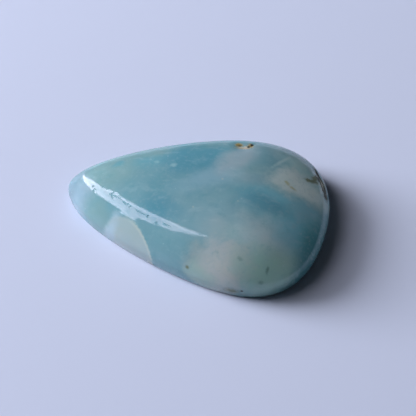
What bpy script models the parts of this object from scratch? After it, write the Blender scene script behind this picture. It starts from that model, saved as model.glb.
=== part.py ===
"""Polished opal cabochon: one pear-shaped stone with a domed crown and a flat back.

Blender 4.5, metres, +Z up. The stone lies on its flat back at Z = 0 with the origin under the
middle of its length and width. The pointed tip is at -X, the round belly at +X.

The stone is one loft. A pear outline gives the girdle, the widest line round the stone. Below
the girdle the wall is drawn in a little towards the back. Above it rings close towards the
apex, boxy across the stone and rounder towards the tip and the end of the belly. Natural
hollows in the polished surface are pressed into the finished loft.
"""

import math

import bmesh
import bpy
from mathutils import Vector
from mathutils.geometry import interpolate_bezier

MM = 0.001

# Girdle outline, seen from above
LENGTH = 38.4 * MM
WIDTH = 27.5 * MM
WIDEST_X = 8.5 * MM
TIP_ROUNDNESS = 0.38
FLANK_FULLNESS = 0.32
SHOULDER_FULLNESS = 0.75
END_ROUNDNESS = 0.53

# Heights and section
HEIGHT = 8.4 * MM
GIRDLE_HEIGHT = 2.3 * MM
BACK_INSET = 0.6 * MM
APEX_X = 3.7 * MM
HEIGHT_EXPONENT = 1.72
SIDE_EXPONENT = 3.2
TIP_EXPONENT = 2.35
END_EXPONENT = 2.0

# Facets of the loft
FLANK_STEPS = 28
BELLY_STEPS = 20
WALL_RINGS = 3
CROWN_RINGS = 24

# Natural hollows: a point near each one's middle, its reach over the surface, its depth
HOLLOWS = {
    "far_shoulder_pit": (Vector((5.0, 8.5, 7.6)) * MM, 1.7 * MM, 0.30 * MM),
    "end_pit_upper": (Vector((16.4, 8.6, 4.0)) * MM, 1.5 * MM, 0.28 * MM),
    "end_pit_lower": (Vector((17.8, 6.2, 3.5)) * MM, 1.5 * MM, 0.28 * MM),
}

OPAL_COLOUR = (0.17, 0.31, 0.38, 1.0)
OPAL_ROUGHNESS = 0.12
OPAL_REFRACTION = 1.45


def clear_scene():
    for old in list(bpy.data.objects):
        bpy.data.objects.remove(old, do_unlink=True)


def bezier(start, handle_out, handle_in, end, steps):
    """Points along one curve, without its last, so that curves can be chained."""
    corners = [Vector((x, y, 0.0)) for x, y in (start, handle_out, handle_in, end)]
    return interpolate_bezier(*corners, steps + 1)[:-1]


def pear_outline():
    """Girdle points, anticlockwise from the tip along the near side and back along the far side."""
    tip = -LENGTH / 2
    end = LENGTH / 2
    half = WIDTH / 2
    flank_reach = FLANK_FULLNESS * (WIDEST_X - tip)
    belly_reach = SHOULDER_FULLNESS * (end - WIDEST_X)
    near_flank = bezier(
        (tip, 0.0),
        (tip, -TIP_ROUNDNESS * half),
        (WIDEST_X - flank_reach, -half),
        (WIDEST_X, -half),
        FLANK_STEPS,
    )
    near_belly = bezier(
        (WIDEST_X, -half),
        (WIDEST_X + belly_reach, -half),
        (end, -END_ROUNDNESS * half),
        (end, 0.0),
        BELLY_STEPS,
    )
    near_side = near_flank + near_belly
    middle_end = Vector((end, 0.0, 0.0))
    far_side = [Vector((point.x, -point.y, 0.0)) for point in reversed(near_side[1:])]
    return near_side + [middle_end] + far_side


def section_exponent(point):
    """How boxy the section is towards this point: boxy at the sides, rounder at tip and end."""
    along = point.x - APEX_X
    if along < 0.0:
        share = (along / (-LENGTH / 2 - APEX_X)) ** 2
        return SIDE_EXPONENT + (TIP_EXPONENT - SIDE_EXPONENT) * share
    share = (along / (LENGTH / 2 - APEX_X)) ** 2
    return SIDE_EXPONENT + (END_EXPONENT - SIDE_EXPONENT) * share


def wall_ring(outline, share):
    """Ring at a share of the girdle's height, drawn in towards the flat back."""
    apex = Vector((APEX_X, 0.0, 0.0))
    inset = BACK_INSET * (1.0 - share) ** 2
    ring = []
    for point in outline:
        inward = (apex - point).normalized()
        ring.append(point + inward * inset + Vector((0.0, 0.0, GIRDLE_HEIGHT * share)))
    return ring


def crown_ring(outline, angle):
    """Ring of the dome: angle 0 is the girdle, a quarter turn is the apex."""
    apex = Vector((APEX_X, 0.0, 0.0))
    rise = (HEIGHT - GIRDLE_HEIGHT) * math.sin(angle) ** (2.0 / HEIGHT_EXPONENT)
    lift = Vector((0.0, 0.0, GIRDLE_HEIGHT + rise))
    ring = []
    for point in outline:
        reach = math.cos(angle) ** (2.0 / section_exponent(point))
        ring.append(apex + (point - apex) * reach + lift)
    return ring


def add_ring(mesh, points):
    verts = [mesh.verts.new(point) for point in points]
    count = len(verts)
    return [mesh.edges.new((verts[i], verts[(i + 1) % count])) for i in range(count)]


def loft_stone():
    """Closed loft from the flat back, up the wall and over the crown to the apex."""
    mesh = bmesh.new()
    outline = pear_outline()
    rings = [wall_ring(outline, step / WALL_RINGS) for step in range(WALL_RINGS)]
    for step in range(CROWN_RINGS):
        rings.append(crown_ring(outline, math.pi / 2 * step / CROWN_RINGS))
    loops = [add_ring(mesh, ring) for ring in rings]
    for lower, upper in zip(loops, loops[1:]):
        bmesh.ops.bridge_loops(mesh, edges=lower + upper)
    bmesh.ops.contextual_create(mesh, geom=loops[0])
    top = [edge.verts[0] for edge in loops[-1]]
    apex = mesh.verts.new((APEX_X, 0.0, HEIGHT))
    for index, vert in enumerate(top):
        mesh.faces.new((vert, top[(index + 1) % len(top)], apex))
    bmesh.ops.recalc_face_normals(mesh, faces=mesh.faces)
    return mesh


def press_hollow(mesh, middle, reach, depth):
    """Sinks the surface round a point, smoothly to nothing at the hollow's reach."""
    mesh.normal_update()
    moves = []
    for vert in mesh.verts:
        distance = (vert.co - middle).length
        if vert.co.z > 0.0 and distance < reach:
            falloff = (1.0 - (distance / reach) ** 2) ** 2
            moves.append((vert, vert.normal * (-depth * falloff)))
    for vert, move in moves:
        vert.co += move


def opal_material():
    material = bpy.data.materials.new("polished_opal")
    material.use_nodes = True
    shader = material.node_tree.nodes["Principled BSDF"]
    shader.inputs["Base Color"].default_value = OPAL_COLOUR
    shader.inputs["Roughness"].default_value = OPAL_ROUGHNESS
    shader.inputs["Metallic"].default_value = 0.0
    shader.inputs["IOR"].default_value = OPAL_REFRACTION
    return material


def build_stone():
    mesh = loft_stone()
    for middle, reach, depth in HOLLOWS.values():
        press_hollow(mesh, middle, reach, depth)
    data = bpy.data.meshes.new("opal_cabochon")
    mesh.to_mesh(data)
    mesh.free()
    data.materials.append(opal_material())
    data.shade_smooth()
    data.set_sharp_from_angle(angle=math.radians(40.0))
    stone = bpy.data.objects.new("opal_cabochon", data)
    bpy.context.scene.collection.objects.link(stone)
    return stone


clear_scene()
build_stone()
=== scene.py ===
"""Looks of the polished opal cabochon: its fine surface, its stone and the studio round it.

Blender 4.5, metres, +Z up. The tip is at -X, the round belly at +X and the flat back at Z = 0.
Places on the stone are written in millimetres and turned into metres by MM. An azimuth is in
degrees from +X towards +Y, apart from the view's, which is counted from the front.
"""

import math

import bmesh
import bpy
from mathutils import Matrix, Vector


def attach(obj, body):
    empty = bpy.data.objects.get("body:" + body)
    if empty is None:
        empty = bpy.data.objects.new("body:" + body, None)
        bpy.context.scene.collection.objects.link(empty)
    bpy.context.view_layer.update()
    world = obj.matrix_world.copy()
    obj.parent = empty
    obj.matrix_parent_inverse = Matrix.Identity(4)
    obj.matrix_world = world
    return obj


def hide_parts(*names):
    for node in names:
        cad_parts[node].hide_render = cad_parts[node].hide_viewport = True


MM = 0.001

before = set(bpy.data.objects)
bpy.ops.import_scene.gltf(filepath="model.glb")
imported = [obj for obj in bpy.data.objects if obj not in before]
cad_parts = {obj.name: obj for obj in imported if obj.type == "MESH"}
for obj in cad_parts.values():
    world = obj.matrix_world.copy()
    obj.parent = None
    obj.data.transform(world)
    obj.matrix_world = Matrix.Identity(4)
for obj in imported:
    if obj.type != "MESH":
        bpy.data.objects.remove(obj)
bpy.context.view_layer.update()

# The photograph's view: degrees from the front, degrees above the paper, metres away
VIEW_AZIMUTH = 12.75
VIEW_ELEVATION = 47.1
VIEW_DISTANCE = 220.0 * MM
VIEW_TARGET = Vector((0.0, 0.0, 4.0)) * MM
VIEW_ASIDE = 1.70 * MM
VIEW_BELOW = 1.24 * MM
FRAME_WIDTH = 59.86 * MM
SENSOR_WIDTH = 36.0
NEAREST_SEEN = 0.01
FARTHEST_SEEN = 20.0

# The paper that the stone lies on
FLOOR_SIZE = 3.0
FLOOR_HEIGHT = -0.02 * MM
PAPER_COLOUR = (0.665, 0.688, 0.805)
PAPER_ROUGHNESS = 0.9

# The window: which way its wall stands from the stone and how far off. Its corners are measured
# in that distance, along the wall and up it, from the top of the near jamb round by the sill.
WINDOW_AZIMUTH = 229.4
WINDOW_DISTANCE = 0.40
WINDOW_CORNERS = [
    (0.33, 3.00),
    (0.27, 1.90),
    (0.29, 1.45),
    (0.36, 1.12),
    (0.48, 1.00),
    (1.40, 1.05),
    (6.00, 1.20),
    (6.00, 2.10),
    (2.20, 2.02),
    (1.20, 2.12),
]
WINDOW_COLOUR = (0.93, 0.99, 1.14)

# It is dim up to one place along its wall and at its full light from another
WINDOW_DIM_END = 0.3
WINDOW_FULL_END = 1.3
WINDOW_DIM_LIGHT = 2.2
WINDOW_LIGHT = 7.2

# The bright strip that the polish mirrors: pairs of corners on its lower and its upper edge, each
# an azimuth and an elevation from the stone. Only mirrored rays see it.
STRIP_DISTANCE = 0.40
STRIP_PAIRS = [
    ((133.0, 1.0), (134.0, 3.0)),
    ((140.0, 7.5), (139.0, 10.0)),
    ((148.0, 16.5), (145.0, 20.0)),
    ((156.0, 22.5), (151.5, 28.5)),
    ((165.0, 28.0), (159.5, 37.0)),
    ((173.0, 31.5), (167.0, 44.5)),
    ((182.0, 34.5), (174.0, 49.0)),
    ((190.0, 36.5), (180.5, 52.0)),
    ((198.0, 39.0), (185.5, 55.5)),
    ((205.0, 44.0), (191.5, 60.0)),
    ((209.5, 50.0), (197.5, 63.5)),
    ((212.0, 56.5), (203.0, 66.5)),
    ((213.0, 62.5), (208.0, 68.5)),
    ((212.5, 69.0), (212.0, 70.5)),
]
STRIP_COLOUR = (1.04, 0.99, 1.26)

# Its light at the first pair and at the last, and the share of its length over which one fades
# into the other. The edges are lifted over the middle, and streaks run along it.
STRIP_FIRST_LIGHT = 8.8
STRIP_LAST_LIGHT = 4.6
STRIP_FADE = (0.25, 0.65)
STRIP_EDGE_LIFT = 0.6
STRIP_STREAKS = (2.5, 3.0, 0.6)
STRIP_STREAK_STRETCH = (3.0, 5.0, 1.0)
STRIP_STREAK_FLOOR = 0.45

# Two soft lights, kept out of the reflections: which way they stand, how high, how far off, how
# wide and their watts. The low one on the left draws the long shadow on the paper. The fill on
# the right lights only the stone, for the light that spreads inside it.
LOW_LIGHT = ("low_light", 178.0, 22.0, 0.8, 0.42, 9.8)
FILL_LIGHT = ("stone_fill", -15.0, 34.0, 0.8, 0.60, 1.2)

ROOM_COLOUR = (1.0, 0.97, 1.06)
ROOM_LIGHT = 0.022

# Making quads of the solid's triangles: how near corners are merged, and how far two triangles
# may be from flat and from square
MERGE_REACH = 0.002 * MM
QUAD_BEND = math.radians(40.0)
QUAD_SKEW = math.radians(60.0)

# The arris of the back: how high its corners may lie, the upward share of a normal above which
# a face counts as wall, and how far and in how many steps the arris is rounded
BACK_HEIGHT_SLACK = 0.01 * MM
BACK_FACE_TURN = -0.9
BACK_EDGE_ROUND = 0.25 * MM
BACK_EDGE_STEPS = 3

# The stone's skin: its smoothing, its cells, and the faint waves that polishing left. The wall
# is left alone up to one height, and the work grows to its full depth over the fade above it,
# both in millimetres.
FAIRING_LEVELS = 2
CELL = 0.16 * MM
WAVE_WIDTH = 4.0 * MM
WAVE_DEPTH = 0.03 * MM
UNWORKED_HEIGHT = 0.3
WORKED_FADE = 1.0

# The far shoulder turns more tightly than the solid's: drawn out above, cut in below. Facing is
# the cosine between a normal and the view; a zone is its middle facing and its reach. The
# drawn-out part fades away towards the belly, by its place along the stone in millimetres. Both
# are at their full depth where a normal's share away from the camera reaches the last number.
SHOULDER_OUT = 0.14 * MM
SHOULDER_OUT_ZONE = (0.22, 0.24)
SHOULDER_OUT_END = 9.0
SHOULDER_OUT_FADE = 6.0
SHOULDER_CUT = 0.26 * MM
SHOULDER_CUT_ZONE = (-0.33, 0.45)
FAR_SIDE_FADE = 0.6

# Small open pits: a point near each one's middle, its reach over the surface and its depth
PITS = [
    (Vector((-14.6, -2.2, 5.6)), 0.30, 0.030),
    (Vector((-14.1, -2.9, 5.5)), 0.26, 0.020),
    (Vector((-11.3, -3.9, 6.2)), 0.34, 0.040),
    (Vector((-10.9, -3.8, 6.3)), 0.30, 0.030),
    (Vector((-8.7, -5.4, 6.4)), 0.26, 0.022),
    (Vector((-8.2, -5.6, 6.4)), 0.26, 0.022),
    (Vector((-5.4, -6.9, 6.7)), 0.26, 0.016),
    (Vector((4.4, 9.0, 7.2)), 0.50, 0.12),
    (Vector((5.2, 8.7, 7.4)), 0.42, 0.07),
    (Vector((6.1, 9.3, 7.2)), 0.40, 0.16),
    (Vector((6.4, 9.9, 6.9)), 0.40, 0.16),
    (Vector((1.6, -12.4, 3.5)), 0.34, 0.03),
    (Vector((12.7, -11.6, 4.8)), 0.34, 0.03),
    (Vector((9.6, -13.7, 1.9)), 0.34, 0.03),
]

# The flake on the near wall: its middle, its half length, half width and half depth, and how far
# its long way dips from level towards the belly. Its rim stands up along the upper side only.
FLAKE_MIDDLE = Vector((-7.7, -8.8, 1.95))
FLAKE_HALF_SIZE = Vector((4.25, 6.0, 3.5))
FLAKE_DIP = 33.0
FLAKE_RIM_WIDTH = 0.10
FLAKE_RIM_HEIGHT = 0.05 * MM
FLAKE_RIM_RISE = 2.0

# Every zone in the stone is written as its middle, its half size, its dip and turn in degrees,
# the softness of its edge, the share of wisps in that edge, and its strength. The last four of
# the flake's are its edge. Its pale line lies between a wider and a narrower copy of its zone,
# and only in the zone of its upper side.
FLAKE_EDGE = ((FLAKE_DIP, 0), 0.07, 0.12, 1.0)
FLAKE_LINE_OUT = 1.02
FLAKE_LINE_IN = 0.955
FLAKE_LINE_SIDE = ((-5.2, -9.0, 4.2), (3.4, 6.0, 2.0), (42, 0), 0.4, 0.9, 0.9)

# Fine scratches in the polish along the bright band, from the tip on. The strength of each zone
# is its share of the depth.
SCRATCH_DEPTH = 0.12 * MM
SCRATCHES = [
    ((-14.75, -2.15, 5.6), (0.13, 0.12, 0.4), (0, 0), 0.5, 0.6, 1.0),
    ((-14.35, -2.75, 5.5), (0.11, 0.22, 0.4), (0, 20), 0.5, 0.6, 1.0),
    ((-12.9, -2.6, 6.1), (0.50, 0.07, 0.4), (0, -30), 0.5, 0.9, 0.8),
    ((-11.55, -3.55, 6.3), (0.30, 0.09, 0.4), (0, 10), 0.5, 0.8, 1.0),
    ((-11.3, -4.05, 6.2), (0.09, 0.28, 0.4), (0, 30), 0.5, 0.8, 1.0),
    ((-10.4, -4.25, 6.3), (0.65, 0.07, 0.4), (0, -28), 0.5, 0.9, 1.0),
    ((-9.0, -5.1, 6.45), (0.45, 0.09, 0.4), (0, -25), 0.5, 1.2, 1.0),
    ((-8.3, -5.6, 6.4), (0.16, 0.12, 0.4), (0, 0), 0.5, 0.8, 0.8),
    ((-6.6, -6.4, 6.5), (0.60, 0.07, 0.4), (0, -25), 0.5, 0.9, 0.6),
    ((-5.3, -7.0, 6.6), (0.18, 0.12, 0.4), (0, 0), 0.5, 0.8, 0.8),
    ((-3.9, -7.9, 6.4), (0.20, 0.14, 0.4), (0, 0), 0.5, 0.8, 0.7),
    ((-2.2, -8.2, 6.6), (0.50, 0.08, 0.4), (0, -20), 0.5, 0.9, 0.5),
]

# How rough each surface is
POLISHED = 0.09
HEALED = 0.20
EARTHY = 0.65
ROUGH_MARKS = ("gold", "olive", "rust", "black", "cream", "matrix")

# How the stone bends light, and how far red, green and blue scatter in it, in millimetres
REFRACTION = 1.5
SCATTER_REACH = (3.0, 4.5, 5.0)

# Noise runs from nothing to one about its middle
NOISE_MIDDLE = 0.5

# Noises in the stone: cells to the millimetre, detail and roughness
BROAD_DRIFT = (0.22, 1.0, 0.5)
FINE_DRIFT = (0.9, 2.0, 0.5)
WISPS = (0.55, 4.0, 0.6)
FINE_WISPS = (2.6, 3.0, 0.6)
BODY_SHADING = (0.35, 3.0, 0.55)
GRAIN = (2.2, 3.0, 0.6)

# How many millimetres the clouds drift by the two first of them
BROAD_DRIFT_REACH = 2.0
FINE_DRIFT_REACH = 0.7

# Where the body colour starts to turn into its shaded one, and where it has turned
BODY_SHADING_RISE = (0.4, 0.65)

GRAIN_STRENGTH = 0.12
GRAIN_DEPTH = 0.02 * MM

# Pale specks: how far apart they could lie, how big they are, and the share that is there
SPECK_SPACING = 1.3
SPECK_SIZE = 0.12
SPECK_SHARE = 0.45
SPECK_STRENGTH = 0.60

# The stone's own colours
COLOURS = {
    "teal": (0.180, 0.335, 0.360),
    "shaded_teal": (0.150, 0.315, 0.345),
    "green_aqua": (0.210, 0.340, 0.335),
    # Partly the stone's own pale aqua, partly a painted sheen of the lit paper on the walls by
    # the tip
    "pale_aqua_and_sheen": (0.285, 0.380, 0.425),
    "deep_blue": (0.105, 0.280, 0.330),
    "bright_blue": (0.195, 0.450, 0.510),
    "sky_blue": (0.105, 0.320, 0.360),
    "dark_teal": (0.075, 0.260, 0.270),
    # Painted shade for the low rims of the belly's end and the far side
    "painted_edge_shade": (0.050, 0.160, 0.180),
    "tip_shade": (0.170, 0.235, 0.265),
    "wall_aqua": (0.190, 0.350, 0.375),
    "milky": (0.245, 0.395, 0.445),
    "milky_pink": (0.300, 0.380, 0.400),
    "pink_grey": (0.485, 0.565, 0.530),
    "grey_rose": (0.560, 0.640, 0.600),
    "haze": (0.265, 0.390, 0.410),
    "pale_haze": (0.430, 0.530, 0.530),
    "rose_white": (0.420, 0.450, 0.435),
    "rose": (0.495, 0.515, 0.475),
    "green_grey": (0.320, 0.480, 0.415),
    "grey_green": (0.370, 0.530, 0.510),
    "flake_beige": (0.355, 0.435, 0.425),
    "flake_grey": (0.325, 0.415, 0.420),
    "flake_rim": (0.500, 0.540, 0.470),
    "wisp_white": (0.400, 0.500, 0.530),
    "frost": (0.400, 0.500, 0.540),
    "cream": (0.560, 0.520, 0.400),
    "gold": (0.300, 0.220, 0.060),
    "yellow_green": (0.360, 0.350, 0.180),
    "snow": (0.420, 0.560, 0.560),
    "pale_vein": (0.420, 0.540, 0.530),
    "matrix": (0.040, 0.052, 0.034),
    "smudge": (0.150, 0.250, 0.220),
    "olive": (0.140, 0.160, 0.080),
    "rust": (0.090, 0.050, 0.020),
    "black": (0.012, 0.012, 0.010),
}

# Clouds in the stone, each a colour and a zone, painted in this order. The dark edge clouds
# low on the belly's end and on the far side are painted shade: they darken the low rim there.
CLOUDS = [
    ("green_aqua", (-14.0, 1.0, 6.0), (5.5, 4.5, 4.0), (0, 0), 0.5, 0.4, 1.0),
    ("tip_shade", (-18.2, 1.8, 3.0), (1.9, 2.4, 3.2), (0, 20), 0.6, 0.4, 0.95),
    # The tip wall's pale aqua, partly a painted sheen of the lit paper
    ("pale_aqua_and_sheen", (-17.4, -3.2, 3.2), (2.8, 3.2, 3.0), (0, -35), 0.5, 0.3, 1.0),
    ("green_aqua", (-13.6, -5.8, 3.8), (2.6, 2.2, 2.2), (0, -35), 0.6, 1.0, 0.7),
    ("tip_shade", (-19.2, -1.2, 2.0), (1.7, 4.2, 2.9), (0, 0), 0.6, 0.3, 0.95),
    ("sky_blue", (-7.4, 3.0, 7.4), (2.6, 1.5, 1.6), (0, 15), 0.8, 0.6, 0.5),
    ("green_aqua", (-8.5, 5.2, 6.8), (4.8, 2.0, 2.4), (0, 12), 0.6, 0.5, 0.8),
    ("sky_blue", (-12.1, 1.9, 6.5), (0.8, 0.7, 1.0), (0, 0), 0.6, 0.5, 0.6),
    ("wall_aqua", (-2.0, -11.0, 4.5), (4.5, 3.0, 3.5), (0, 0), 0.5, 0.4, 1.0),
    ("deep_blue", (-1.0, 4.8, 8.0), (4.6, 3.7, 4.0), (0, 38), 0.45, 0.6, 1.0),
    ("green_aqua", (-0.5, 8.2, 7.0), (3.5, 1.5, 2.0), (0, 10), 0.7, 0.5, 0.5),
    ("deep_blue", (-3.0, -5.8, 7.2), (3.6, 1.8, 2.4), (0, -8), 0.6, 0.5, 1.0),
    ("milky", (2.6, 1.2, 8.3), (5.0, 1.9, 3.0), (0, 32), 0.7, 1.0, 0.85),
    ("milky_pink", (4.9, 5.6, 8.0), (4.0, 1.8, 3.0), (0, 58), 0.7, 0.8, 0.95),
    ("teal", (9.9, 7.3, 7.2), (3.0, 2.3, 2.4), (0, 20), 0.5, 0.5, 0.8),
    ("haze", (10.6, 9.4, 6.6), (2.2, 1.5, 2.0), (0, 0), 0.7, 0.7, 0.6),
    ("grey_green", (14.2, 7.4, 5.6), (3.2, 2.4, 2.6), (0, -20), 0.6, 0.7, 0.9),
    ("haze", (7.2, 1.9, 8.2), (3.2, 1.5, 2.0), (0, 10), 0.7, 0.8, 0.7),
    ("green_aqua", (7.3, 3.8, 8.0), (1.7, 1.1, 1.6), (0, 10), 0.7, 0.6, 0.6),
    ("bright_blue", (13.2, -2.0, 7.0), (6.0, 3.0, 4.0), (0, -5), 0.55, 0.6, 0.95),
    ("haze", (16.0, -0.4, 5.8), (2.4, 1.9, 2.4), (0, -5), 0.7, 0.6, 0.95),
    ("bright_blue", (16.0, -0.4, 5.8), (2.4, 1.9, 2.4), (0, -5), 0.7, 0.6, 0.6),
    ("deep_blue", (10.4, -2.1, 7.8), (3.4, 1.7, 4.0), (0, -5), 0.6, 0.4, 0.75),
    ("pink_grey", (13.5, 3.7, 7.2), (3.8, 2.6, 3.6), (0, 4), 0.5, 1.0, 1.0),
    ("grey_rose", (16.4, 3.5, 5.6), (2.8, 2.0, 3.0), (0, -10), 0.6, 0.8, 0.9),
    ("haze", (5.4, -7.2, 7.8), (6.8, 3.6, 3.0), (0, -8), 0.8, 1.0, 0.62),
    ("green_grey", (9.2, -8.6, 6.9), (3.4, 2.0, 2.4), (0, -8), 0.8, 1.0, 0.35),
    ("pale_haze", (11.4, -8.0, 6.6), (4.2, 3.4, 3.0), (0, -20), 0.8, 0.9, 0.85),
    ("rose_white", (4.6, -7.8, 7.6), (1.8, 1.4, 2.0), (0, 0), 0.8, 0.8, 0.3),
    ("green_grey", (12.6, -11.8, 4.4), (5.4, 3.2, 3.8), (0, 12), 0.6, 0.7, 1.0),
    ("dark_teal", (17.4, -4.6, 4.2), (2.2, 3.2, 2.8), (0, -12), 0.6, 0.8, 0.7),
    ("bright_blue", (14.7, -5.8, 6.0), (2.4, 2.2, 2.4), (0, -20), 0.7, 0.8, 0.6),
    ("rose_white", (6.0, -12.0, 4.8), (4.2, 2.9, 4.6), (0, 4), 0.42, 0.9, 0.9),
    ("rose", (6.0, -13.0, 3.8), (2.4, 2.2, 3.2), (0, 10), 0.7, 0.9, 0.8),
    ("smudge", (2.5, -11.0, 5.6), (1.1, 1.6, 2.6), (0, 0), 0.8, 1.0, 0.25),
    ("green_grey", (8.6, -11.6, 5.2), (1.3, 1.6, 1.6), (0, 20), 0.8, 1.4, 0.5),
    ("green_grey", (3.2, -12.6, 3.8), (1.0, 1.5, 1.4), (0, 0), 0.8, 1.4, 0.4),
    # Painted shade on the low rim at the belly's end
    ("painted_edge_shade", (17.4, -4.6, 0.8), (5.6, 8.4, 3.2), (0, 0), 0.5, 0.5, 0.95),
    ("green_grey", (3.8, -13.4, 2.2), (2.2, 2.2, 1.5), (15, 0), 0.7, 0.9, 0.6),
    # Low on the near wall by the tip: pale aqua, partly a painted sheen of the lit paper
    ("pale_aqua_and_sheen", (-13.2, -7.4, 2.0), (1.6, 2.4, 1.6), (0, -30), 0.6, 1.6, 0.6),
    # Painted shade on the low rims of the far side
    ("painted_edge_shade", (-6.4, 10.2, 2.6), (13.5, 2.3, 4.4), (0, 22), 0.6, 0.5, 0.7),
    ("painted_edge_shade", (13.2, 12.2, 2.2), (8.5, 2.8, 4.0), (0, -33), 0.5, 0.5, 0.5),
]

# Veils all over the clouds: a colour, its noise, how that is squeezed or drawn out along each
# axis, and then the noise where the veil starts, where it is full, and its strength
VEILS = [
    ("wisp_white", (0.8, 3.0, 0.6), (0.6, 1.1, 0.9), (0.50, 0.80, 0.27)),
    ("dark_teal", (0.6, 4.0, 0.6), (1.0, 1.0, 1.0), (0.54, 0.80, 0.30)),
    ("haze", (1.7, 3.0, 0.6), (1.0, 1.0, 1.0), (0.50, 0.72, 0.28)),
]

# Clouds painted over the flake: aqua and frost at its end by the tip, and greys across it
FLAKE_CLOUDS = [
    ("green_aqua", (-13.0, -7.0, 2.2), (2.3, 4.0, 3.4), (0, 0), 0.3, 0.6, 0.8),
    ("frost", (-10.9, -7.8, 2.6), (0.7, 3.4, 2.4), (20, 0), 0.8, 2.0, 0.9),
    ("flake_grey", (-7.2, -9.4, 2.4), (2.2, 3.4, 0.9), (33, 0), 0.8, 1.4, 0.6),
    ("flake_grey", (-5.0, -10.4, 2.4), (0.5, 3.0, 1.6), (10, 0), 0.8, 1.2, 0.4),
]

# Small marks with harder edges: the pale vein, the brown pit, two yellow-green streaks, the
# matrix streaks on the shoulder of the belly, the dark spots of the near wall, and pale flecks
MARKS = [
    ("pale_vein", (11.1, 7.2, 7.0), (2.3, 0.24, 1.5), (0, 62), 0.9, 1.2, 0.6),
    ("gold", (4.3, 9.1, 7.2), (0.55, 0.6, 0.8), (0, 0), 0.4, 0.8, 0.9),
    ("cream", (5.1, 8.6, 7.5), (0.8, 0.38, 0.8), (0, 10), 0.5, 1.6, 0.85),
    ("gold", (5.0, 8.3, 7.6), (1.1, 0.22, 0.8), (0, 8), 0.5, 1.6, 0.6),
    ("gold", (6.0, 9.3, 7.2), (0.5, 0.7, 0.8), (0, 0), 0.5, 1.6, 0.9),
    ("rust", (4.5, 9.0, 7.2), (0.22, 0.22, 0.4), (0, 0), 0.4, 0.4, 1.0),
    ("black", (5.8, 8.9, 7.3), (0.24, 0.26, 0.5), (0, 0), 0.4, 0.6, 1.0),
    ("black", (6.2, 9.6, 7.0), (0.26, 0.28, 0.5), (0, 0), 0.4, 0.6, 1.0),
    ("yellow_green", (12.6, 3.2, 7.1), (0.4, 0.3, 0.6), (0, -40), 0.6, 1.6, 0.7),
    ("yellow_green", (13.6, 2.6, 6.9), (0.6, 0.22, 0.6), (0, -20), 0.6, 1.6, 0.7),
    ("olive", (15.4, 5.7, 5.7), (0.8, 0.35, 0.6), (0, 20), 0.5, 1.6, 0.9),
    ("olive", (16.1, 7.0, 5.0), (1.2, 0.40, 0.6), (0, 70), 0.5, 1.6, 0.9),
    ("olive", (16.2, 6.2, 5.0), (0.9, 0.35, 0.6), (0, 20), 0.5, 1.8, 0.8),
    ("cream", (17.4, 7.0, 4.0), (2.0, 1.0, 0.9), (0, -62), 0.6, 1.6, 0.5),
    ("olive", (16.6, 8.2, 4.2), (1.6, 0.5, 0.7), (0, -55), 0.5, 1.6, 1.0),
    ("black", (16.3, 8.8, 4.0), (1.3, 0.22, 0.6), (0, -52), 0.5, 1.0, 1.0),
    ("matrix", (17.0, 7.5, 4.3), (1.1, 0.8, 0.8), (0, -60), 0.4, 2.0, 1.0),
    ("olive", (17.7, 6.4, 3.8), (1.3, 0.5, 0.8), (0, -62), 0.5, 1.6, 1.0),
    ("matrix", (17.8, 6.1, 3.8), (1.2, 0.6, 0.7), (0, -62), 0.4, 2.0, 1.0),
    ("matrix", (18.1, 5.0, 3.7), (0.9, 0.45, 0.6), (0, -70), 0.4, 2.0, 1.0),
    ("cream", (17.3, 6.7, 4.2), (1.1, 0.13, 0.6), (0, -60), 0.5, 1.6, 0.8),
    ("olive", (1.6, -12.4, 3.5), (0.26, 0.4, 0.26), (0, 0), 0.6, 0.8, 0.9),
    ("smudge", (8.8, -11.4, 6.0), (0.42, 0.26, 0.3), (0, -30), 0.8, 1.6, 0.5),
    ("smudge", (12.7, -11.6, 4.8), (0.18, 0.5, 0.5), (0, 0), 0.8, 1.4, 0.8),
    ("smudge", (12.1, -12.9, 3.5), (0.4, 0.3, 0.26), (0, 0), 0.8, 1.6, 0.6),
    ("olive", (8.2, -13.7, 1.6), (0.9, 0.5, 0.5), (0, 0), 0.7, 1.2, 0.75),
    ("black", (9.6, -13.7, 1.9), (0.2, 0.4, 0.2), (0, 0), 0.5, 0.4, 0.9),
    ("olive", (-4.4, -10.8, 0.7), (0.6, 0.6, 0.4), (0, 0), 0.6, 0.8, 0.7),
    ("snow", (-3.8, 2.2, 8.1), (0.40, 0.40, 0.6), (0, 15), 0.7, 1.4, 0.42),
    ("snow", (-6.4, 2.6, 7.9), (0.36, 0.36, 0.6), (0, 15), 0.7, 1.8, 0.28),
    ("cream", (3.7, 0.7, 8.4), (0.16, 0.16, 0.3), (0, 0), 0.5, 0.2, 0.3),
    ("cream", (6.7, -2.9, 8.3), (0.14, 0.14, 0.3), (0, 0), 0.5, 0.2, 0.3),
    ("cream", (0.8, -5.2, 8.1), (0.14, 0.14, 0.3), (0, 0), 0.5, 0.2, 0.3),
]

# A Mix node gives sockets of one name to several kinds, so they go by number: the kind, then its
# sockets for the mask, for what lies under and over, and for what comes out
COLOUR_MIX = ("RGBA", 0, 6, 7, 2)
NUMBER_MIX = ("FLOAT", 0, 2, 3, 0)


def clamped(value):
    """The value held between nothing and one."""
    return min(max(value, 0.0), 1.0)


def only(piece):
    """Makes one object the only one that an operator works on."""
    bpy.ops.object.select_all(action="DESELECT")
    piece.select_set(True)
    bpy.context.view_layer.objects.active = piece


def new_object(name, data):
    """A new object in the scene."""
    made = bpy.data.objects.new(name, data)
    bpy.context.scene.collection.objects.link(made)
    return made


def direction(azimuth, elevation):
    """Unit vector towards a place named by its azimuth and elevation in degrees."""
    azimuth = math.radians(azimuth)
    elevation = math.radians(elevation)
    level = Vector((math.cos(azimuth), math.sin(azimuth), 0.0))
    return level * math.cos(elevation) + Vector((0.0, 0.0, math.sin(elevation)))


def view_directions():
    """Unit vectors from the target to the camera, to the picture's right and to its top."""
    back = direction(VIEW_AZIMUTH - 90.0, VIEW_ELEVATION)
    right = direction(VIEW_AZIMUTH, 0.0)
    up = back.cross(right)
    return back, right, up


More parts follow.
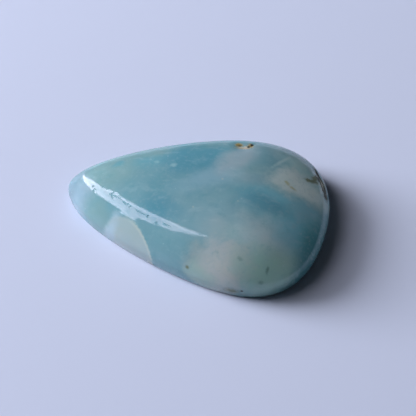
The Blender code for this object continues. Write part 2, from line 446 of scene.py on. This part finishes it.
def make_camera():
    back, right, up = view_directions()
    aim = VIEW_TARGET + right * VIEW_ASIDE - up * VIEW_BELOW
    data = bpy.data.cameras.new("view_camera")
    data.sensor_width = SENSOR_WIDTH
    data.lens = SENSOR_WIDTH * VIEW_DISTANCE / FRAME_WIDTH
    data.clip_start = NEAREST_SEEN
    data.clip_end = FARTHEST_SEEN
    camera = new_object("view_camera", data)
    camera.location = aim + back * VIEW_DISTANCE
    camera.rotation_euler = back.to_track_quat("Z", "Y").to_euler()
    bpy.context.scene.camera = camera


def copy_of_node(node_name, piece_name):
    """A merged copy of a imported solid, as clean quads, ready to be worked on."""
    piece = new_object(piece_name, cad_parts[node_name].data.copy())
    only(piece)
    bpy.ops.mesh.customdata_custom_splitnormals_clear()
    bpy.ops.object.mode_set(mode="EDIT")
    bpy.ops.mesh.select_all(action="SELECT")
    bpy.ops.mesh.remove_doubles(threshold=MERGE_REACH)
    bpy.ops.mesh.tris_convert_to_quads(face_threshold=QUAD_BEND, shape_threshold=QUAD_SKEW)
    bpy.ops.object.mode_set(mode="OBJECT")
    return piece


def round_back_edge(piece):
    """The arris between wall and flat back, rubbed round."""
    bpy.ops.object.mode_set(mode="EDIT")
    bpy.ops.mesh.select_mode(type="EDGE")
    bpy.ops.mesh.select_all(action="DESELECT")
    mesh = bmesh.from_edit_mesh(piece.data)
    for edge in mesh.edges:
        low = all(vert.co.z < BACK_HEIGHT_SLACK for vert in edge.verts)
        by_wall = any(face.normal.z > BACK_FACE_TURN for face in edge.link_faces)
        edge.select = low and by_wall
    bmesh.update_edit_mesh(piece.data)
    bpy.ops.mesh.bevel(offset=BACK_EDGE_ROUND, segments=BACK_EDGE_STEPS, affect="EDGES")
    bpy.ops.object.mode_set(mode="OBJECT")


def apply_modifiers(piece):
    for modifier in list(piece.modifiers):
        bpy.ops.object.modifier_apply(modifier=modifier.name)


def press_in(stone, place, reach, depth):
    """A small open pit, pushed into the surface with soft sides."""
    surface = stone.data
    nearest = min(surface.vertices, key=lambda vert: (vert.co - place).length_squared)
    picked = nearest.index
    inward = -nearest.normal
    only(stone)
    bpy.ops.object.mode_set(mode="EDIT")
    bpy.ops.mesh.select_mode(type="VERT")
    bpy.ops.mesh.select_all(action="DESELECT")
    bpy.ops.object.mode_set(mode="OBJECT")
    surface.vertices[picked].select = True
    bpy.ops.object.mode_set(mode="EDIT")
    bpy.ops.transform.translate(
        value=inward * depth,
        use_proportional_edit=True,
        proportional_edit_falloff="SMOOTH",
        proportional_size=reach,
    )
    bpy.ops.object.mode_set(mode="OBJECT")


def weigh(stone, name, weight_at):
    """A vertex group whose weights follow a rule of place, in millimetres, and normal."""
    group = stone.vertex_groups.new(name=name)
    for vert in stone.data.vertices:
        weight = weight_at(vert.co / MM, vert.normal)
        if weight > 0.0:
            group.add([vert.index], weight, "REPLACE")
    return group.name


def worked_weight(place, _normal):
    """All of the polished face, but not the flat back."""
    return clamped((place.z - UNWORKED_HEIGHT) / WORKED_FADE)


def flake_rim_weight(place, _normal):
    """The raised rim of the flake, only along its upper side."""
    dip = math.radians(FLAKE_DIP)
    off = place - FLAKE_MIDDLE
    along = (off.x * math.cos(dip) - off.z * math.sin(dip)) / FLAKE_HALF_SIZE.x
    inward = off.y / FLAKE_HALF_SIZE.y
    upward = (off.x * math.sin(dip) + off.z * math.cos(dip)) / FLAKE_HALF_SIZE.z
    reach = Vector((along, inward, upward)).length
    on_rim = math.exp(-(((reach - 1.0) / FLAKE_RIM_WIDTH) ** 2))
    return on_rim * clamped(upward * FLAKE_RIM_RISE)


def far_shoulder_weight(normal, zone):
    """Weight in a belt along the far shoulder, where the surface turns out of sight."""
    back, _right, _up = view_directions()
    away = Vector((-back.x, -back.y, 0.0)).normalized()
    middle, reach = zone
    in_belt = max(1.0 - ((normal.dot(back) - middle) / reach) ** 2, 0.0) ** 2
    return in_belt * clamped(normal.dot(away) / FAR_SIDE_FADE)


def shoulder_out_weight(place, normal):
    fades_out = clamped((SHOULDER_OUT_END - place.x) / SHOULDER_OUT_FADE)
    return far_shoulder_weight(normal, SHOULDER_OUT_ZONE) * fades_out


def shoulder_cut_weight(place, normal):
    return far_shoulder_weight(normal, SHOULDER_CUT_ZONE) * worked_weight(place, normal)


def displace_by(stone, name, strength, weight_at):
    """Moves the surface along its normals, as much as a rule of place and normal says."""
    move = stone.modifiers.new(name, "DISPLACE")
    move.strength = strength
    move.mid_level = 0.0
    move.vertex_group = weigh(stone, name, weight_at)
    return move


def even_skin():
    """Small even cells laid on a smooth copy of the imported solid."""
    guide = copy_of_node("opal_cabochon", "smooth_guide")
    round_back_edge(guide)
    fairing = guide.modifiers.new("fair_the_facets", "SUBSURF")
    fairing.levels = FAIRING_LEVELS
    fairing.render_levels = FAIRING_LEVELS
    apply_modifiers(guide)
    stone = new_object("polished_opal", guide.data.copy())
    only(stone)
    even = stone.modifiers.new("even_cells", "REMESH")
    even.mode = "VOXEL"
    even.voxel_size = CELL
    lay = stone.modifiers.new("lay_on_the_guide", "SHRINKWRAP")
    lay.target = guide
    apply_modifiers(stone)
    bpy.data.objects.remove(guide, do_unlink=True)
    return stone


def make_stone():
    """The dressed stone: the even skin with its waves, shoulder, flake rim and pits."""
    stone = even_skin()
    waves = bpy.data.textures.new("polish_waves", "CLOUDS")
    waves.noise_scale = WAVE_WIDTH
    waviness = displace_by(stone, "polish_waves", WAVE_DEPTH, worked_weight)
    waviness.texture = waves
    # The waves only cut in: the texture's brightest part leaves the surface where it is
    waviness.mid_level = 1.0
    displace_by(stone, "shoulder_out", SHOULDER_OUT, shoulder_out_weight)
    displace_by(stone, "shoulder_cut", -SHOULDER_CUT, shoulder_cut_weight)
    displace_by(stone, "flake_rim", FLAKE_RIM_HEIGHT, flake_rim_weight)
    only(stone)
    apply_modifiers(stone)
    for place, reach, depth in PITS:
        press_in(stone, place * MM, reach * MM, depth * MM)
    stone.vertex_groups.clear()
    only(stone)
    bpy.ops.object.shade_smooth()
    stone.data.materials.clear()
    stone.data.materials.append(opal_material())
    return stone


def add_node(tree, kind, inputs=None, **settings):
    """Adds one node, sets it up, and fills or joins its inputs."""
    node = tree.nodes.new(kind)
    for name, value in settings.items():
        setattr(node, name, value)
    for name, value in (inputs or {}).items():
        if isinstance(value, bpy.types.NodeSocket):
            tree.links.new(value, node.inputs[name])
        else:
            node.inputs[name].default_value = value
    return node


def math_node(tree, operation, first, second):
    node = add_node(tree, "ShaderNodeMath", {0: first, 1: second}, operation=operation)
    return node.outputs["Value"]


def vector_node(tree, operation, first, second):
    node = add_node(tree, "ShaderNodeVectorMath", {0: first, 1: second}, operation=operation)
    return node.outputs["Vector"]


def scaled(tree, vector, factor):
    node = add_node(tree, "ShaderNodeVectorMath", {0: vector, "Scale": factor}, operation="SCALE")
    return node.outputs["Vector"]


def noise_node(tree, place, noise):
    """Noise over places in the stone; the noise is its scale, its detail and its roughness."""
    scale, detail, roughness = noise
    inputs = {"Vector": place, "Scale": scale, "Detail": detail, "Roughness": roughness}
    return add_node(tree, "ShaderNodeTexNoise", inputs)


def grey_noise(tree, place, noise):
    return noise_node(tree, place, noise).outputs["Fac"]


def smooth_rise(tree, value, low, high, strength):
    """Mask that rises from nothing at the low value to its strength at the high one."""
    inputs = {"Value": value, "From Min": low, "From Max": high, "To Max": strength}
    rise = add_node(tree, "ShaderNodeMapRange", inputs, interpolation_type="SMOOTHSTEP")
    return rise.outputs["Result"]


def even_rise(tree, value, ends, levels):
    """A number that goes evenly from one level to another between two ends."""
    inputs = {
        "Value": value,
        "From Min": ends[0],
        "From Max": ends[1],
        "To Min": levels[0],
        "To Max": levels[1],
    }
    return add_node(tree, "ShaderNodeMapRange", inputs).outputs["Result"]


def mixed(tree, mix, under, over, mask):
    """Takes one colour or number over to another through a mask."""
    kind, mask_socket, under_socket, over_socket, result = mix
    inputs = {mask_socket: mask, under_socket: under, over_socket: over}
    return add_node(tree, "ShaderNodeMix", inputs, data_type=kind).outputs[result]


def paint(tree, under, name, mask):
    """Lays one of the stone's colours over what is painted so far, through a mask."""
    return mixed(tree, COLOUR_MIX, under, (*COLOURS[name], 1.0), mask)


def new_group(name, inputs, outputs):
    """An empty node group with its sockets; inputs are name, kind and starting value."""
    group = bpy.data.node_groups.new(name, "ShaderNodeTree")
    for socket_name, kind, value in inputs:
        socket = group.interface.new_socket(socket_name, in_out="INPUT", socket_type=kind)
        socket.default_value = value
    for socket_name, kind in outputs:
        group.interface.new_socket(socket_name, in_out="OUTPUT", socket_type=kind)
    start = group.nodes.new("NodeGroupInput")
    end = group.nodes.new("NodeGroupOutput")
    return group, start.outputs, end.inputs


def make_zone_group():
    """Builds the mask of one soft-edged oval cloud inside the stone, frayed by wisps."""
    group, given, result = new_group(
        "cloud_zone",
        [
            ("Position", "NodeSocketVector", (0.0, 0.0, 0.0)),
            ("Centre", "NodeSocketVector", (0.0, 0.0, 0.0)),
            ("Half Size", "NodeSocketVector", (1.0, 1.0, 1.0)),
            ("Rotation", "NodeSocketVector", (0.0, 0.0, 0.0)),
            ("Softness", "NodeSocketFloat", 0.5),
            ("Wisps", "NodeSocketFloat", 0.5),
            ("Wisp Share", "NodeSocketFloat", 0.5),
            ("Strength", "NodeSocketFloat", 1.0),
        ],
        [("Mask", "NodeSocketFloat")],
    )
    off = vector_node(group, "SUBTRACT", given["Position"], given["Centre"])
    turned = add_node(
        group,
        "ShaderNodeVectorRotate",
        {"Vector": off, "Rotation": given["Rotation"]},
        rotation_type="EULER_XYZ",
        invert=True,
    )
    across = vector_node(group, "DIVIDE", turned.outputs["Vector"], given["Half Size"])
    reach = add_node(group, "ShaderNodeVectorMath", {0: across}, operation="LENGTH")
    centred = math_node(group, "SUBTRACT", given["Wisps"], NOISE_MIDDLE)
    fraying = math_node(group, "MULTIPLY", centred, given["Wisp Share"])
    frayed = math_node(group, "ADD", reach.outputs["Value"], fraying)
    outer = math_node(group, "ADD", 1.0, given["Softness"])
    inner = math_node(group, "SUBTRACT", 1.0, given["Softness"])
    edge = add_node(
        group,
        "ShaderNodeMapRange",
        {"Value": frayed, "From Min": inner, "From Max": outer, "To Min": 1.0, "To Max": 0.0},
        interpolation_type="SMOOTHSTEP",
    )
    mask = math_node(group, "MULTIPLY", edge.outputs["Result"], given["Strength"])
    group.links.new(mask, result["Mask"])


def make_speck_group():
    """Builds the mask of small scattered specks: only some cells of a lattice hold one."""
    group, given, result = new_group(
        "specks",
        [
            ("Position", "NodeSocketVector", (0.0, 0.0, 0.0)),
            ("Spacing", "NodeSocketFloat", 1.0),
            ("Size", "NodeSocketFloat", 0.15),
            ("Share", "NodeSocketFloat", 0.3),
        ],
        [("Mask", "NodeSocketFloat")],
    )
    scale = math_node(group, "DIVIDE", 1.0, given["Spacing"])
    cells = add_node(group, "ShaderNodeTexVoronoi", {"Vector": given["Position"], "Scale": scale})
    dot = add_node(
        group,
        "ShaderNodeMapRange",
        {"Value": cells.outputs["Distance"], "From Min": given["Size"], "From Max": 0.0},
        interpolation_type="SMOOTHSTEP",
    )
    chosen = add_node(group, "ShaderNodeSeparateColor", {"Color": cells.outputs["Color"]})
    kept = math_node(group, "LESS_THAN", chosen.outputs["Red"], given["Share"])
    mask = math_node(group, "MULTIPLY", dot.outputs["Result"], kept)
    group.links.new(mask, result["Mask"])


def zone_mask(tree, place, wisps, zone):
    """Mask of one zone: middle, half size, dip and turn, softness, wisps and strength."""
    middle, half_size, dip_and_turn, softness, wisp_share, strength = zone
    dip, turn = (math.radians(angle) for angle in dip_and_turn)
    inputs = {
        "Position": place,
        "Wisps": wisps,
        "Centre": middle,
        "Half Size": half_size,
        "Rotation": (0.0, dip, turn),
        "Softness": softness,
        "Wisp Share": wisp_share,
        "Strength": strength,
    }
    group = bpy.data.node_groups["cloud_zone"]
    return add_node(tree, "ShaderNodeGroup", inputs, node_tree=group).outputs["Mask"]


def noise_shift(tree, place, noise, reach):
    """How far noise moves each place, up to about half the reach either way."""
    colour = noise_node(tree, place, noise).outputs["Color"]
    centred = vector_node(tree, "SUBTRACT", colour, (NOISE_MIDDLE,) * 3)
    return scaled(tree, centred, reach)


def paint_clouds(tree, place, wisps):
    """The stone's body colour, its clouds and the veils over them."""
    broad_shift = noise_shift(tree, place, BROAD_DRIFT, BROAD_DRIFT_REACH)
    fine_shift = noise_shift(tree, place, FINE_DRIFT, FINE_DRIFT_REACH)
    drifted = vector_node(tree, "ADD", place, broad_shift)
    drifted = vector_node(tree, "ADD", drifted, fine_shift)
    shading = grey_noise(tree, drifted, BODY_SHADING)
    shaded = even_rise(tree, shading, BODY_SHADING_RISE, (0.0, 1.0))
    colour = paint(tree, (*COLOURS["teal"], 1.0), "shaded_teal", shaded)
    for name, *zone in CLOUDS:
        colour = paint(tree, colour, name, zone_mask(tree, drifted, wisps, zone))
    for name, noise, stretch, rise in VEILS:
        stretched = vector_node(tree, "MULTIPLY", drifted, stretch)
        veil = smooth_rise(tree, grey_noise(tree, stretched, noise), *rise)
        colour = paint(tree, colour, name, veil)
    return colour


def paint_flake(tree, colour, place, wisps, fine_wisps):
    """The flake, its clouds and the broken pale line along its upper rim."""
    flake = zone_mask(tree, place, fine_wisps, (FLAKE_MIDDLE, FLAKE_HALF_SIZE, *FLAKE_EDGE))
    colour = paint(tree, colour, "flake_beige", flake)
    for name, *zone in FLAKE_CLOUDS:
        colour = paint(tree, colour, name, zone_mask(tree, place, wisps, zone))
    wider = (FLAKE_MIDDLE, FLAKE_HALF_SIZE * FLAKE_LINE_OUT, *FLAKE_EDGE)
    narrower = (FLAKE_MIDDLE, FLAKE_HALF_SIZE * FLAKE_LINE_IN, *FLAKE_EDGE)
    within_wider = zone_mask(tree, place, fine_wisps, wider)
    within_narrower = zone_mask(tree, place, fine_wisps, narrower)
    line = math_node(tree, "SUBTRACT", within_wider, within_narrower)
    upper_side = zone_mask(tree, place, fine_wisps, FLAKE_LINE_SIDE)
    rim_line = math_node(tree, "MULTIPLY", line, upper_side)
    return paint(tree, colour, "flake_rim", rim_line), flake


def paint_marks(tree, colour, roughness, place, fine_wisps):
    """The marks, which are rough where they are earthy, and the pale specks."""
    for name, *zone in MARKS:
        mark = zone_mask(tree, place, fine_wisps, zone)
        colour = paint(tree, colour, name, mark)
        if name in ROUGH_MARKS:
            roughness = mixed(tree, NUMBER_MIX, roughness, EARTHY, mark)
    inputs = {
        "Position": place,
        "Spacing": SPECK_SPACING,
        "Size": SPECK_SIZE,
        "Share": SPECK_SHARE,
    }
    group = bpy.data.node_groups["specks"]
    specks = add_node(tree, "ShaderNodeGroup", inputs, node_tree=group).outputs["Mask"]
    faint = math_node(tree, "MULTIPLY", specks, SPECK_STRENGTH)
    return paint(tree, colour, "wisp_white", faint), roughness


def worn_normal(tree, place, fine_wisps):
    """The polish's fine grain, with the scratches cut into it."""
    inputs = {
        "Height": grey_noise(tree, place, GRAIN),
        "Strength": GRAIN_STRENGTH,
        "Distance": GRAIN_DEPTH,
    }
    grain = add_node(tree, "ShaderNodeBump", inputs).outputs["Normal"]
    height = 0.0
    for scratch in SCRATCHES:
        cut = zone_mask(tree, place, fine_wisps, scratch)
        height = math_node(tree, "SUBTRACT", height, cut)
    inputs = {"Height": height, "Distance": SCRATCH_DEPTH, "Normal": grain}
    return add_node(tree, "ShaderNodeBump", inputs).outputs["Normal"]


def opal_material():
    make_zone_group()
    make_speck_group()
    material = bpy.data.materials.new("polished_opal")
    material.use_nodes = True
    tree = material.node_tree
    object_place = add_node(tree, "ShaderNodeTexCoord").outputs["Object"]
    place = scaled(tree, object_place, 1.0 / MM)
    wisps = grey_noise(tree, place, WISPS)
    fine_wisps = grey_noise(tree, place, FINE_WISPS)
    colour = paint_clouds(tree, place, wisps)
    colour, flake = paint_flake(tree, colour, place, wisps, fine_wisps)
    roughness = mixed(tree, NUMBER_MIX, POLISHED, HEALED, flake)
    colour, roughness = paint_marks(tree, colour, roughness, place, fine_wisps)
    shader = tree.nodes["Principled BSDF"]
    tree.links.new(colour, shader.inputs["Base Color"])
    tree.links.new(roughness, shader.inputs["Roughness"])
    tree.links.new(worn_normal(tree, place, fine_wisps), shader.inputs["Normal"])
    shader.inputs["IOR"].default_value = REFRACTION
    shader.inputs["Subsurface Weight"].default_value = 1.0
    shader.inputs["Subsurface Radius"].default_value = SCATTER_REACH
    shader.inputs["Subsurface Scale"].default_value = MM
    return material


def paper_material():
    material = bpy.data.materials.new("paper")
    material.use_nodes = True
    shader = material.node_tree.nodes["Principled BSDF"]
    shader.inputs["Base Color"].default_value = (*PAPER_COLOUR, 1.0)
    shader.inputs["Roughness"].default_value = PAPER_ROUGHNESS
    return material


def make_floor():
    bpy.ops.mesh.primitive_plane_add(size=FLOOR_SIZE, location=(0.0, 0.0, FLOOR_HEIGHT))
    floor = bpy.context.active_object
    floor.name = "paper_floor"
    floor.data.materials.append(paper_material())


def bare_material(name):
    """A material whose node tree is still empty."""
    material = bpy.data.materials.new(name)
    material.use_nodes = True
    material.node_tree.nodes.clear()
    return material


def shine(tree, colour, strength):
    """Ends a node tree in light of one colour and a changing strength."""
    inputs = {"Color": (*colour, 1.0), "Strength": strength}
    light = add_node(tree, "ShaderNodeEmission", inputs).outputs["Emission"]
    add_node(tree, "ShaderNodeOutputMaterial", {"Surface": light})


def window_material():
    """Dim by the near jamb and at full light further along the wall."""
    material = bare_material("window_light")
    tree = material.node_tree
    place = add_node(tree, "ShaderNodeTexCoord").outputs["Object"]
    along = add_node(tree, "ShaderNodeSeparateXYZ", {"Vector": place}).outputs["X"]
    ends = (WINDOW_DIM_END * WINDOW_DISTANCE, WINDOW_FULL_END * WINDOW_DISTANCE)
    shine(tree, WINDOW_COLOUR, even_rise(tree, along, ends, (WINDOW_DIM_LIGHT, WINDOW_LIGHT)))
    return material


def make_window():
    """The long window on the left. The polish doesn't mirror it: the strip stands in for it."""
    mesh = bpy.data.meshes.new("window")
    corners = [Vector((along, up, 0.0)) * WINDOW_DISTANCE for along, up in WINDOW_CORNERS]
    mesh.from_pydata(corners, [], [tuple(range(len(corners)))])
    mesh.materials.append(window_material())
    window = new_object("window", mesh)
    window.location = direction(WINDOW_AZIMUTH, 0.0) * WINDOW_DISTANCE
    facing = math.radians(WINDOW_AZIMUTH) - math.pi / 2
    window.rotation_euler = (math.pi / 2, 0.0, facing)
    window.visible_glossy = False


def strip_material():
    """Brighter at the first end and along both edges, duller down the middle, and streaked."""
    material = bare_material("strip_light")
    tree = material.node_tree
    spread = add_node(tree, "ShaderNodeTexCoord").outputs["UV"]
    sides = add_node(tree, "ShaderNodeSeparateXYZ", {"Vector": spread})
    along, across = sides.outputs["X"], sides.outputs["Y"]
    strength = even_rise(tree, along, STRIP_FADE, (STRIP_FIRST_LIGHT, STRIP_LAST_LIGHT))
    off_middle = even_rise(tree, across, (0.0, 1.0), (-1.0, 1.0))
    by_edge = math_node(tree, "MULTIPLY", off_middle, off_middle)
    edges = math_node(tree, "MULTIPLY", by_edge, STRIP_EDGE_LIFT)
    drawn_out = vector_node(tree, "MULTIPLY", spread, STRIP_STREAK_STRETCH)
    streaks = grey_noise(tree, drawn_out, STRIP_STREAKS)
    uneven = math_node(tree, "ADD", streaks, STRIP_STREAK_FLOOR)
    uneven = math_node(tree, "ADD", uneven, edges)
    shine(tree, STRIP_COLOUR, math_node(tree, "MULTIPLY", strength, uneven))
    return material


def make_strip():
    """The bright strip that draws the band along the stone's near shoulder."""
    corners = []
    for lower, upper in STRIP_PAIRS:
        corners.append(direction(*lower) * STRIP_DISTANCE)
        corners.append(direction(*upper) * STRIP_DISTANCE)
    last = len(STRIP_PAIRS) - 1
    firsts = [2 * pair for pair in range(last)]
    mesh = bpy.data.meshes.new("bright_strip")
    mesh.from_pydata(corners, [], [(i, i + 1, i + 3, i + 2) for i in firsts])
    spread = mesh.uv_layers.new(name="spread")
    for loop in mesh.loops:
        pair, upper = divmod(loop.vertex_index, 2)
        spread.data[loop.index].uv = (pair / last, upper)
    mesh.materials.append(strip_material())
    strip = new_object("bright_strip", mesh)
    strip.visible_diffuse = False
    strip.visible_shadow = False


def make_soft_light(name, azimuth, elevation, distance, size, watts):
    outward = direction(azimuth, elevation)
    data = bpy.data.lights.new(name, "AREA")
    data.shape = "DISK"
    data.size = size
    data.energy = watts
    data.color = WINDOW_COLOUR
    light = new_object(name, data)
    light.location = outward * distance
    light.rotation_euler = outward.to_track_quat("Z", "Y").to_euler()
    light.visible_glossy = False
    return light


def light_only(light, piece):
    """Keeps a light to one piece."""
    lit = bpy.data.collections.new(light.name + "_receivers")
    lit.objects.link(piece)
    light.light_linking.receiver_collection = lit


def make_room():
    world = bpy.data.worlds.new("room")
    world.use_nodes = True
    backdrop = world.node_tree.nodes["Background"]
    backdrop.inputs["Color"].default_value = (*ROOM_COLOUR, 1.0)
    backdrop.inputs["Strength"].default_value = ROOM_LIGHT
    bpy.context.scene.world = world


make_camera()
make_floor()
make_window()
make_strip()
make_soft_light(*LOW_LIGHT)
fill_light = make_soft_light(*FILL_LIGHT)
make_room()
polished = make_stone()
light_only(fill_light, polished)
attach(polished, "root")
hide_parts("opal_cabochon")
bpy.context.scene.view_settings.view_transform = "Standard"
